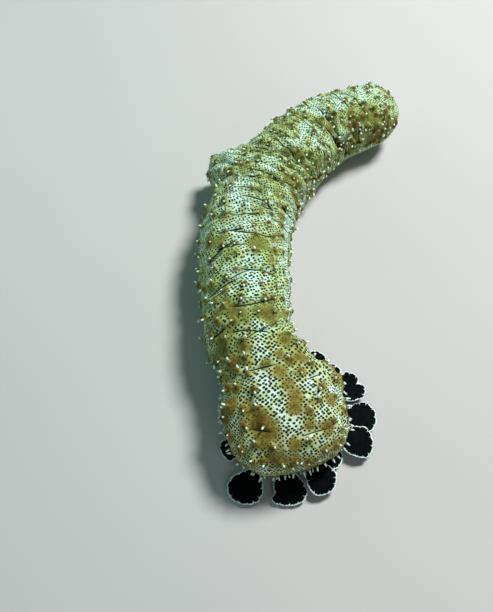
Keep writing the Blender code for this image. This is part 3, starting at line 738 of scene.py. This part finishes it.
def skinMaterial():
    material, tree, shader = newMaterial("skin")
    finish = skinFinish
    place = layerOf(tree, "skinPlace", "Vector")
    dotPlace = layerOf(tree, "dotPlace", "Vector")
    blotch, core, onBack = layerOf(tree, "blotch"), layerOf(tree, "core"), layerOf(tree, "onBack")
    creaseOff, creaseDark = calc(tree, "ABSOLUTE", layerOf(tree, "creaseOff")), layerOf(tree, "creaseDark")
    parts = addNode(tree, "SeparateXYZ", {0: place})
    alongBody, aroundBody = parts.outputs[0], parts.outputs[1]
    broad = noiseTexture(tree, place, finish["broad"], 3)
    patchy = noiseTexture(tree, place, finish["patchy"], 4, 0.6)
    fleck = noiseTexture(tree, place, finish["fleck"], 3, 0.6)
    mottle = noiseTexture(tree, place, finish["mottle"], 4, 0.65)

    # ground colour, and ochre blotches with ragged edges that turn rusty in the middle
    clear = calc(tree, "SUBTRACT", patchy, times(tree, blotch, 0.3))
    # painted light: more of the pale ground from 130 mm on, brightening the rear
    clear = plus(tree, clear, between(tree, alongBody, 130, 180, 0, 0.025))
    ragged = shaken(tree, blotch, patchy, 1.0)
    ragged = shaken(tree, ragged, fleck, 0.35)
    ragged = plus(tree, ragged, between(tree, broad, 0.42, 0.66, -0.1, 0.26))
    ragged = plus(tree, ragged, between(tree, alongBody, 20, 190, 0.06, -0.15))
    spots = shaken(tree, core, fleck, 0.5)
    inBlotch, inSpot = between(tree, ragged, 0.6, 1.2, 0, 0.85), between(tree, spots, 0.3, 0.75, 0, 0.95)
    rearward = between(tree, alongBody, *finish["rearFrom"])
    olive = times(tree, rearward, between(tree, alongBody, *finish["oliveUntil"], 1, 0.3))
    ochre = coated(
        tree, finish["umber"], (between(tree, mottle, 0.36, 0.62), finish["ochre"]),
        (olive, finish["oliveTint"], "MULTIPLY"),
    )

    # black dots, one in each cell of an uneven net, with a finer net on the flanks; they shrink in
    # the blotches, towards the rear and on the sole, and stay clear of the creases
    fade = between(tree, ragged, 0.2, 0.9, 1.06, 0.35)
    fade = times(tree, fade, between(tree, spots, 0.35, 0.7, 1, 0.4))
    fade = times(tree, fade, between(tree, alongBody, 60, 200, 1, 0.86))
    fade = times(tree, fade, between(tree, onBack, 0.2, 0.8, 0.55, 1))
    byCrease = between(tree, creaseOff, 0.6, 1.3, 0.8, 0)
    byCrease = times(tree, byCrease, between(tree, creaseDark, 0.3, 0.6))
    fade = times(tree, fade, calc(tree, "SUBTRACT", 1.0, byCrease))
    aside = plus(tree, calc(tree, "ABSOLUTE", aroundBody), times(tree, patchy, 8))
    onFlank = between(tree, aside, *finish["flankFrom"])
    coarse = dotNet(tree, dotPlace, 1, times(tree, fade, calc(tree, "SUBTRACT", 1.0, onFlank)))
    fine = dotNet(tree, dotPlace, finish["flankNet"], times(tree, fade, onFlank))
    dots = calc(tree, "MAXIMUM", coarse, fine)

    # painted shade: a thin dark line at the bottom of each crease, in a soft painted shade
    shade = times(tree, between(tree, creaseOff, 0.3, 1.6, 0.22, 0), creaseDark)
    # painted shade in the valleys between the rolls of the rear
    shade = calc(tree, "MAXIMUM", shade, times(tree, layerOf(tree, "valleyShade"), 0.5))
    line = calc(tree, "SUBTRACT", creaseOff, times(tree, creaseDark, finish["lineHalfWidth"]))
    line = times(tree, between(tree, line, 0, 0.14, 0.98, 0), between(tree, creaseDark, 0.25, 0.5))

    colour = coated(
        tree, finish["cream"], (between(tree, clear, 0.36, 0.66), finish["pale"]),
        (times(tree, between(tree, ragged, 0.2, 0.62), 0.88), ochre),
        (calc(tree, "MAXIMUM", inBlotch, inSpot), finish["rust"]),
        (between(tree, onBack, 0.75, 0.15, 0, 0.75), finish["sole"]),
        (rearward, finish["rearTint"], "MULTIPLY"),
        (between(tree, alongBody, *finish["tailFrom"]), finish["tailTint"], "MULTIPLY"),
        # the black dots, then painted shade in the creases and in the valleys between the rolls
        (times(tree, dots, 0.97), finish["dot"]), (calc(tree, "MAXIMUM", shade, line), finish["dark"]),
        # painted shade in the pit of the anus
        (times(tree, layerOf(tree, "anusShade"), 0.85), finish["dark"]),
    )
    grain = noiseTexture(tree, place, finish["grain"], 3, 0.6)
    stretched = vectorCalc(tree, "MULTIPLY", place, (1.0, 0.3, 1.0))
    wrinkles = noiseTexture(tree, stretched, finish["wrinkle"], 3, 0.62)
    relief = plus(tree, plus(tree, grain, times(tree, dots, -0.4)), times(tree, wrinkles, 1.8))
    dress(tree, shader, colour, grain, finish["roughness"], relief, 0.5, 0.0006)
    shader.inputs["Specular IOR Level"].default_value = finish["shine"]
    letLightIn(shader, 0.06, (0.004, 0.003, 0.0015), 0.4)
    return material


# papilla tips

tipForm = {
    "sides": 10, "bend": 0.5, "seed": 23,
    # height above the skin and radius, root to tip, for a papilla of size 1
    "profile": [(-1.2, 1.9), (-0.3, 1.5), (0.4, 1.1), (0.9, 0.84), (1.3, 0.76), (1.7, 0.76), (2.1, 0.74),
                (2.45, 0.6), (2.65, 0.38), (2.72, 0.1)],
    # the same for a pointed one of the fringe
    "fang": [(-0.8, 1.0), (0.1, 0.72), (0.9, 0.58), (1.8, 0.5), (2.8, 0.43), (3.6, 0.33), (4.1, 0.2),
             (4.3, 0.05)],
    "white": tone(234, 252, 244),
}


def joinedMesh(name, parts):
    # many small closed grids as one mesh; each part is (points, values of each layer)
    verts, faces, layers, start = [], [], {layer: [] for layer in parts[0][1]}, 0
    for points, values in parts:
        rows, columns = points.shape[:2]
        verts.append(points.reshape(-1, 3))
        for layer, found in layers.items():
            found.append(np.broadcast_to(values[layer], (rows, columns)).reshape(-1))
        faces += gridQuads(rows, columns, start)
        faces.append([start + k for k in range(columns)][::-1])
        start += rows * columns
        faces.append([start - columns + k for k in range(columns)])
    obj = newObject(name, np.concatenate(verts), faces)
    for layer, found in layers.items():
        addLayer(obj, layer, "FLOAT", "POINT", "value", np.concatenate(found))
    return obj


def circle(count, first, second):
    # points round a unit circle that two directions span
    turn = np.radians(360 * np.arange(count) / count)[:, None]
    return np.cos(turn) * first + np.sin(turn) * second


def turnedPiece(profile, sides, root, axis, bend):
    # rings round a line that leaves the root along the axis and bends sideways
    axis = unit(axis)
    first = unit(np.cross(axis, (0, 0, 1) if abs(axis[2]) < 0.9 else (1, 0, 0)))
    around = circle(sides, first, np.cross(axis, first))
    rings = []
    for height, radius in profile:
        lean = np.asarray(bend) * max(height / profile[-1][0], 0) ** 2
        rings.append(root + axis * height + lean + around * radius)
    return np.stack(rings)


def buildTips(points, normals):
    flatPoints, flatNormals = points.reshape(-1, 3), normals.reshape(-1, 3)
    draw = random.Random(tipForm["seed"])
    parts = []

    def addTip(seat, profile, bend, whiteFrom):
        # set on the skin's nearest point, along its normal; the layer goes to 1 at the tip
        nearest = ((flatPoints - seat) ** 2).sum(1).argmin()
        piece = turnedPiece(profile, tipForm["sides"], flatPoints[nearest], flatNormals[nearest], bend)
        share = np.array([[max(h, 0) / profile[-1][0]] for h, _ in profile])
        parts.append((piece, {"tip": whiteFrom + (1 - whiteFrom) * share}))

    for distance, angle, size, onRim in papillae:
        grow = size * draw.uniform(0.8, 1.15)
        tall = grow * (1.25 if onRim else draw.uniform(0.75, 1.2))
        if not onRim:
            grow = 0.35 + 0.65 * grow
        wide = grow * (0.6 if onRim else np.interp(distance, (60, 130), (0.95, 0.84)))
        profile = [(h * (tall if h > 0 else 1), r * wide) for h, r in tipForm["profile"]]
        bend = [draw.uniform(-1, 1) * tipForm["bend"] * grow for _ in range(3)]
        addTip(skinPlace(distance, angle), profile, bend, 0)
    for seat, size in fringe:
        profile = [(h * size, r * (0.95 + 0.35 * size)) for h, r in tipForm["fang"]]
        bend = [draw.uniform(-0.5, 0.5), draw.uniform(-0.5, 0.5), draw.uniform(-0.9, 0.3)]
        addTip(seat, profile, bend, 0.1)
    return joinedMesh("papillae", parts)


def tipMaterial():
    material, tree, shader = newMaterial("papillae")
    patchy = noiseTexture(tree, objectPlace(tree), 420, 2)
    edge = shaken(tree, layerOf(tree, "tip"), patchy, 0.25)
    colour = coated(
        tree, skinFinish["ochre"], (between(tree, edge, 0.05, 0.4), skinFinish["rust"]),
        (between(tree, edge, 0.28, 0.4), tipForm["white"]),
    )
    dress(tree, shader, colour, patchy, (0.4, 0.55), patchy, 0.3, 0.0002)
    letLightIn(shader, 0.15, (0.003, 0.002, 0.001), 0.3)
    return material


# tentacles

tentacleForm = {
    "mouth": (25, -80), "collarRadius": 16, "rootHeight": 7.4, "firstRoot": -168,
    "stalk": 2.0, "stalkEnd": 1.1, "stalkSides": 18, "stalkRings": 40, "gap": 0.3,
    "rim": 0.55, "middle": 1.9, "tilt": 7, "perLobe": 14, "firstSeed": 40,
    "notchDepth": 0.1, "furrow": 0.14, "ruffle": 0.45, "cup": 0.5, "fan": 0.17, "longer": 1.18,
    # leaves torn in at one place: number in the list, bearing on the leaf, depth as a share, half width
    "clefts": {11: (0, 0.34, 14), 4: (-84, 0.2, 13), 9: (40, 0.1, 9)},
    # bearing from the mouth, reach, leaf radius, height, lobes
    "leaves": [
        (-156, 38.5, 8.0, 3.4, 10), (-139, 25, 5.5, 2.8, 8), (-121, 49.5, 11.5, 3.4, 12),
        (-104, 25, 5.5, 2.8, 8), (-87, 43.5, 11.5, 3.4, 12), (-73, 25, 5.5, 2.8, 8),
        (-58, 44, 10.5, 6.6, 12), (-36, 38, 8.0, 2.9, 10), (-14, 50, 11.5, 6.8, 12),
        (6.5, 53, 11.5, 3.2, 12), (19, 25, 5.5, 2.8, 8), (30, 54, 11.0, 6.4, 12),
        (48, 53.5, 7.0, 3.0, 10), (63, 54.5, 7.0, 6.4, 10), (90, 36, 7.0, 3.0, 8),
        (110, 33, 6.5, 6.4, 8), (130, 32, 6.5, 3.0, 8), (150, 33, 6.5, 6.4, 8),
        (170, 36, 7.0, 3.0, 8), (188, 34, 7.0, 6.4, 8),
    ],
    "black": (tone(1, 2, 3), tone(5, 8, 9)), "white": tone(236, 248, 248), "shine": 0.06,
}
mouthMiddle = np.array([*tentacleForm["mouth"], 0]) + [*bodyForm["shift"], 0]


def towards(bearing):
    return np.array([math.cos(bearing), math.sin(bearing), 0])


def leafGrid(radius, lobes, cleft, seed):
    # a lobed disc as closed rings, from the middle of its top round the rim to the middle below
    form = tentacleForm
    draw = random.Random(seed)

    def perLobe(low, high):
        return np.array([draw.uniform(low, high) for _ in range(lobes)])

    widths = perLobe(0.8, 1.2)
    edges = runningSum(widths) / widths.sum() * 2 * math.pi
    phase = np.arange(lobes * form["perLobe"]) / form["perLobe"]
    turn = np.interp(phase, np.arange(lobes + 1), edges)
    inLobe, lobe = phase % 1, phase.astype(int)
    arch = np.sin(math.pi * inLobe)
    fromNotch = np.minimum(inLobe, 1 - inLobe)
    lobeSize = 1 + (perLobe(0.95, 1.03)[lobe] - 1) * arch ** 0.5
    lift, depths = perLobe(-1, 1)[lobe], perLobe(0.3, 1.3)[lobe]
    notch = 1 - np.abs(arch) ** 0.5
    margin = lobeSize - form["notchDepth"] * depths * notch + 0.014 * np.sin(turn * 37)
    margin += 0.028 * np.sin(turn * 2 + draw.uniform(0, 6)) + 0.022 * np.sin(turn * 3 + draw.uniform(0, 6))
    bearing, depth, halfWidth = cleft
    margin -= depth * bell((np.degrees(turn) - bearing + 180) % 360 - 180, halfWidth)

    steps = 1 - (1 - np.linspace(0.05, 1, 15)) ** 1.45
    shares = np.concatenate([steps, steps[-2::-1]])
    upper = np.concatenate([np.ones(len(steps) - 1), [0], -np.ones(len(steps) - 1)])
    rows, edgeNear = [], []
    for share, side in zip(shares, upper):
        spread = share * (1 + (margin - 1) * share ** 5)
        thick = form["rim"] + (form["middle"] - form["rim"]) * (1 - share ** 1.5)
        half = thick / 2 * math.sqrt(max(1 - share ** 16, 0))
        crinkle = 0.07 * np.sin(turn * 31 + share * 9) * share
        furrow = form["furrow"] * bell(fromNotch, 0.10) * np.clip((share - 0.3) * 3, 0, 1)
        z = side * (half - (furrow + crinkle) * (half > 0.1))
        z = z + form["cup"] * share ** 3 + form["ruffle"] * lift * arch * share ** 3
        z = z + 0.35 * np.sin(turn * 3 + lobes) * share ** 2
        out, across = np.cos(turn) * radius * spread, np.sin(turn) * radius * spread
        across = across * (1 + form["fan"] * out / radius)   # broader towards the outer edge
        out = out * np.where(out < 0, form["longer"], 0.97)
        rows.append(np.stack([out, across, z], -1))
        edgeNear.append(radius * (margin - spread))
    return np.stack(rows), np.stack(edgeNear), bell(fromNotch, 0.09)


def stalkGrid(rootBearing, tip):
    # a wrinkled, tapering tube from the collar to the middle of the leaf
    form = tentacleForm
    out, heading = towards(rootBearing), (tip - mouthMiddle) * (1, 1, 0)
    reach, heading = np.linalg.norm(heading), unit(heading)
    first = form["collarRadius"] + form["gap"]

    def onWay(direction, share, lift):
        # a place on the way from the collar to the tip, and from the root's height to the tip's
        height = form["rootHeight"] + (tip[2] - form["rootHeight"]) * lift
        return mouthMiddle + direction * (first + (reach - first) * share) + (0, 0, height)

    root = mouthMiddle + out * (form["collarRadius"] - 1.5) + (0, 0, form["rootHeight"])
    bend = onWay(unit(out * 0.55 + heading * 0.45), 0.42, 0.15)
    way = [root, onWay(out, 0.12, 0), bend, onWay(heading, 0.8, 0.88), tip]
    share = np.linspace(0, 1, form["stalkRings"])
    line = smoothThrough(way, share * (len(way) - 1))
    along = unit(np.gradient(line, axis=0))
    side = unit(np.cross(along, (0, 0, 1)))
    radius = form["stalk"] + (form["stalkEnd"] - form["stalk"]) * share
    radius *= 1 + 0.05 * np.sin(share * reach * 2.6)
    ring = circle(form["stalkSides"], side[:, None, :], np.cross(side, along)[:, None, :])
    return line[:, None, :] + ring * radius[:, None, None]


def buildTentacle(index):
    form = tentacleForm
    bearing, reach, radius, height, lobes = form["leaves"][index]
    heading = math.radians(bearing)
    tip = mouthMiddle + (0, 0, height) + towards(heading) * reach
    cleft = form["clefts"].get(index, (0, 0, 1))
    leaf, edgeNear, notchNear = leafGrid(radius, lobes, cleft, form["firstSeed"] + index)
    turn = Matrix.Rotation(heading, 3, "Z") @ Matrix.Rotation(math.radians(form["tilt"]), 3, "Y")
    leaf = leaf @ np.array(turn).T + tip
    rootBearing = math.radians(form["firstRoot"] + 360 / len(form["leaves"]) * index)
    parts = [
        (leaf, {"edgeNear": edgeNear, "notchNear": notchNear}),
        (stalkGrid(rootBearing, tip), {"edgeNear": 9.0, "notchNear": 0.0}),
    ]
    return joinedMesh(f"tentacle{index + 1:02d}", parts)


def tentacleMaterial():
    material, tree, shader = newMaterial("tentacle")
    where = objectPlace(tree)
    speckle = noiseTexture(tree, where, 900, 3, 0.6)
    broad = noiseTexture(tree, where, 130, 2)
    colour = blendColours(tree, between(tree, broad, 0.35, 0.65), *tentacleForm["black"])
    # the white rim, with short white ticks where two lobes meet
    uneven = shaken(tree, layerOf(tree, "edgeNear"), broad, 1.0)
    uneven = shaken(tree, uneven, speckle, 1.7)
    ticks = between(tree, layerOf(tree, "notchNear"), 0.8, 0.97)
    ticks = times(tree, ticks, between(tree, uneven, 1.0, 1.6, 0.8, 0))
    white = calc(tree, "MAXIMUM", between(tree, uneven, 0.52, 0.7, 1, 0), ticks)
    colour = blendColours(tree, white, colour, tentacleForm["white"])
    dress(tree, shader, colour, speckle, (0.65, 0.85), speckle, 0.5, 0.0003)
    shader.inputs["Specular IOR Level"].default_value = tentacleForm["shine"]
    return material


# mouth

mouthForm = {
    # height and radius from the top of the collar down, round the lip and into the mouth
    "profile": [
        (13.5, 15.6), (11.4, 15.9), (9.0, 16.0), (6.4, 15.8), (4.6, 15.0), (3.6, 13.2), (3.5, 11.0),
        (3.1, 9.4), (2.3, 8.2), (2.2, 7.0), (2.9, 5.6), (4.0, 4.0), (5.4, 2.8), (7.2, 2.2),
    ],
    "rings": 90, "around": 200, "collarFolds": 20, "lipFolds": 14, "lowest": 1.2,
    # inside is painted shade, darkening down into the opening of the mouth
    "skin": (tone(120, 112, 74), tone(92, 84, 52)), "inside": tone(36, 26, 22),
}


def buildMouth():
    form = mouthForm
    rows = smoothThrough(form["profile"], np.linspace(0, len(form["profile"]) - 1, form["rings"]))
    turn = np.radians(np.arange(form["around"]) * 360 / form["around"])
    height, radius = rows[:, 0][:, None], rows[:, 1][:, None]
    inLip = np.clip((12 - radius) / 5, 0, 1)
    lipWave = np.cos(turn * form["lipFolds"] + 0.6) * inLip
    folds = 0.35 * np.cos(turn * form["collarFolds"]) * (1 - inLip) + 0.45 * lipWave
    swirl = noiseAt(np.stack(np.broadcast_arrays(height, radius * 0.2, turn * 8), -1), 2.2, 6.1) * 0.25
    reach = radius + (folds + swirl) * np.clip(radius / 8, 0, 1)
    z = height + 0.4 * lipWave * np.clip(radius / 6, 0, 1)
    z = np.maximum(z, form["lowest"])
    points = np.stack([reach * np.cos(turn), reach * np.sin(turn), z], -1) + mouthMiddle
    outward = np.clip((radius - 2) / 9, 0, 1)
    return joinedMesh("mouthCollar", [(points[::-1], {"outward": outward[::-1]})])


def mouthMaterial():
    material, tree, shader = newMaterial("mouth")
    patchy = noiseTexture(tree, objectPlace(tree), 260, 3)
    # painted shade: darker down into the mouth's opening
    inside = between(tree, layerOf(tree, "outward"), 0.7, 0.05, 0, 0.9)
    colour = blendColours(tree, between(tree, patchy, 0.35, 0.65), *mouthForm["skin"])
    colour = blendColours(tree, inside, colour, mouthForm["inside"])
    dress(tree, shader, colour, patchy, (0.38, 0.55), patchy, 0.4, 0.0004)
    return material


# tube feet

footForm = {
    # places across the sole, as shares of its half width, in three bands
    "bands": (-0.62, -0.54, -0.46, -0.09, 0.0, 0.09, 0.46, 0.54, 0.62),
    "start": 96, "step": 5.2, "longest": 6.5, "sides": 12, "seed": 31,
    # share of the foot's height above the floor, and radius
    "profile": [(0, 1.1), (0.12, 1.25), (0.24, 1.05), (0.36, 0.74), (0.6, 0.7), (0.85, 0.85), (1.25, 1.2)],
    "skin": (tone(120, 108, 66), tone(150, 142, 98)), "sucker": tone(206, 206, 182),
}


def buildFeet():
    form, power = footForm, bodyForm["solePower"]
    draw = random.Random(form["seed"])
    parts = []
    distance = form["start"]
    while distance < bodyLength - bodyForm["tailRound"]:
        for band, share in enumerate(form["bands"]):
            place = distance + form["step"] * 0.5 * (band % 2) + draw.uniform(-0.8, 0.8)
            share += draw.uniform(-0.02, 0.02)
            point, _, side = spineAt(np.array(place))
            width, back, sole = sectionAt(np.array(place))
            middle = sole + (back - sole) * bodyForm["widestAt"]
            under = middle - (middle - sole) * (1 - abs(share) ** power) ** (1 / power)
            if under > form["longest"]:
                continue
            root = np.array([*(point + side * share * width), 0])
            grow = draw.uniform(0.8, 1.1)
            profile = [(h * under, r * grow) for h, r in form["profile"]]
            lean = (draw.uniform(-0.5, 0.5), draw.uniform(-0.5, 0.5), 0)
            piece = turnedPiece(profile, form["sides"], root, np.array((0, 0, 1.0)), lean)
            parts.append((piece, {"lift": np.array([[h] for h, _ in form["profile"]])}))
        distance += form["step"]
    return joinedMesh("tubeFeet", parts)


def footMaterial():
    material, tree, shader = newMaterial("tubeFeet")
    patchy = noiseTexture(tree, objectPlace(tree), 300, 2)
    colour = blendColours(tree, between(tree, patchy, 0.35, 0.65), *footForm["skin"])
    atEnd = between(tree, layerOf(tree, "lift"), 0.3, 0.1)
    colour = blendColours(tree, atEnd, colour, footForm["sucker"])
    dress(tree, shader, colour, patchy, (0.4, 0.6), patchy, 0.3, 0.0003)
    return material


# floor, lights and camera

studio = {
    "target": (-44.2, -39.5, 27.5), "distance": 500, "elevation": 60, "lens": 41.76,
    "floorHalf": 2500, "floor": (tone(200, 190, 190), tone(210, 200, 199)),
    # name, place, size in metres, watts, colour; each looks at the target
    "lights": [
        ("keyLight", (700, 670, 1380), 0.48, 36.2, (0.89, 1.0, 0.98)),
        ("fillLight", (-800, 200, 460), 0.9, 1.5, (0.5, 1.0, 0.93)),
        ("frontLight", (350, -900, 520), 0.9, 1.7, (0.8, 1.0, 1.0)),
    ],
    "world": (0.62, 0.95, 0.92, 1), "worldStrength": 0.06,
}


def addAimed(name, data, place, target):
    # a light or camera that looks at the target
    obj = bpy.data.objects.new(name, data)
    bpy.context.scene.collection.objects.link(obj)
    obj.location = place
    obj.rotation_euler = (place - target).to_track_quat("Z", "Y").to_euler()
    return obj


def buildStudio():
    half = studio["floorHalf"]
    corners = np.array([(-half, -half, 0), (half, -half, 0), (half, half, 0), (-half, half, 0)])
    floor = newObject("floor", corners, [(0, 1, 2, 3)])
    material, tree, shader = newMaterial("floor")
    soft = noiseTexture(tree, objectPlace(tree), 3, 3)
    tree.links.new(blendColours(tree, soft, *studio["floor"]), shader.inputs["Base Color"])
    shader.inputs["Roughness"].default_value = 0.8
    floor.data.materials.append(material)

    target = Vector(studio["target"]) * mm
    for name, place, size, watts, colour in studio["lights"]:
        data = bpy.data.lights.new(name, "AREA")
        data.shape, data.size, data.energy, data.color = "DISK", size, watts, colour
        addAimed(name, data, Vector(place) * mm, target)
    world = bpy.data.worlds.new("studio")
    bpy.context.scene.world = world
    world.use_nodes = True
    background = world.node_tree.nodes["Background"]
    background.inputs["Color"].default_value = studio["world"]
    background.inputs["Strength"].default_value = studio["worldStrength"]

    elevation = math.radians(studio["elevation"])
    data = bpy.data.cameras.new("camera")
    data.lens, data.clip_start = studio["lens"], 0.01
    away = Vector((0, -math.cos(elevation), math.sin(elevation))) * studio["distance"] * mm
    bpy.context.scene.camera = addAimed("camera", data, target + away, target)
    bpy.context.scene.view_settings.view_transform = "Standard"


def finishPiece(obj, material, slotName, *nodes):
    obj.data.materials.append(material)
    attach(obj, "root")
    if nodes:
        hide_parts(*nodes)


buildStudio()
print("studio ready")

skin, skinPoints, skinNormals = buildSkin()
finishPiece(skin, skinMaterial(), "skin", "head", "forebody", "midbody", "hindbody", "rear", "tail")
print("skin built:", len(skin.data.polygons), "faces")

finishPiece(buildTips(skinPoints, skinNormals), tipMaterial(), "skin")
finishPiece(buildFeet(), footMaterial(), "skin")
print("papillae and tube feet built")

finishPiece(buildMouth(), mouthMaterial(), "mouth", "mouth")
black = tentacleMaterial()
for index in range(len(tentacleForm["leaves"])):
    finishPiece(buildTentacle(index), black, "tentacle", f"tentacle_{index + 1:02d}")
print("mouth and tentacles built")
